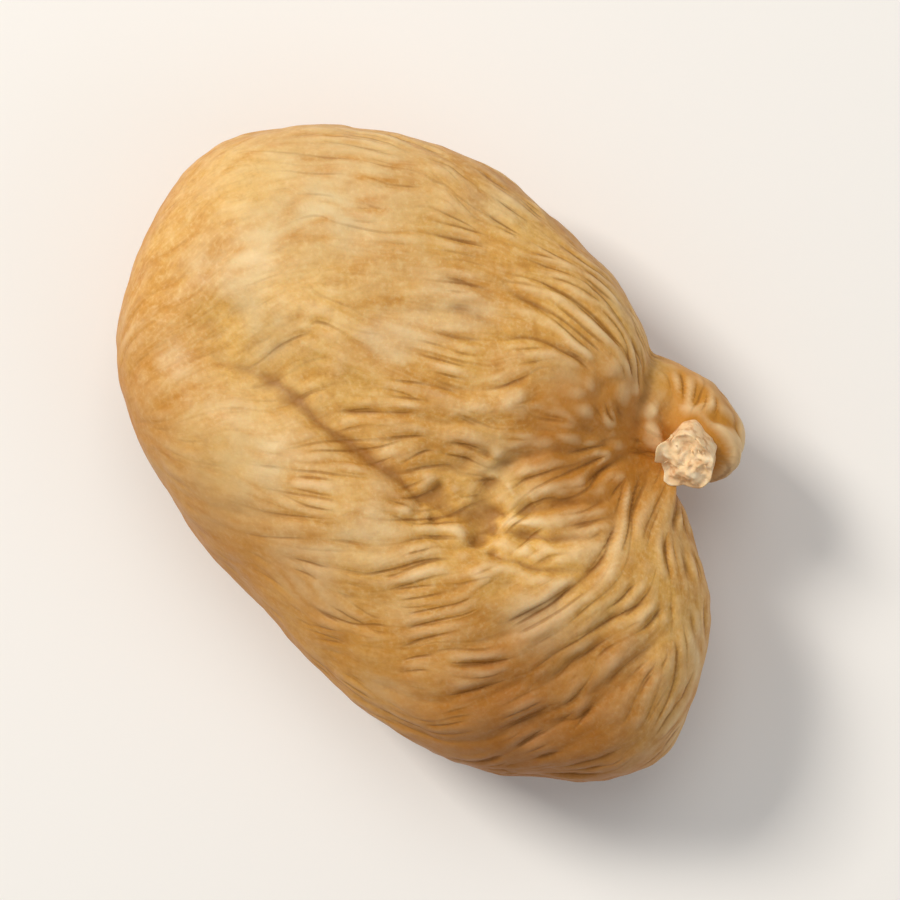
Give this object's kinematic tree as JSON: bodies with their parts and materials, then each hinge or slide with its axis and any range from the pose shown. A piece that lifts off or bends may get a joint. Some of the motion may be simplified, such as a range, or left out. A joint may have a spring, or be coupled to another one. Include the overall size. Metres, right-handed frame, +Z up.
{
  "type": "dried fig",
  "caption": "Dried fig pressed into a thick wrinkled cushion, with a fold across its upper side and a short neck that ends in a cut stem stub.",
  "frame": {"origin": "under the middle of the fig's bounding box, on the plane that the fig lies on", "axes": "+Z up through the fig's thickness, +X along its length towards the narrow end, +Y towards the side with the neck and stem stub"},
  "size_m": [0.0536, 0.0374, 0.0203],
  "materials": {
    "fig_skin": "waxy, finely wrinkled dried fruit skin, straw to golden brown"
  },
  "bodies": {
    "root": {"dried_fig": "fig_skin"}
  },
  "joints": []
}
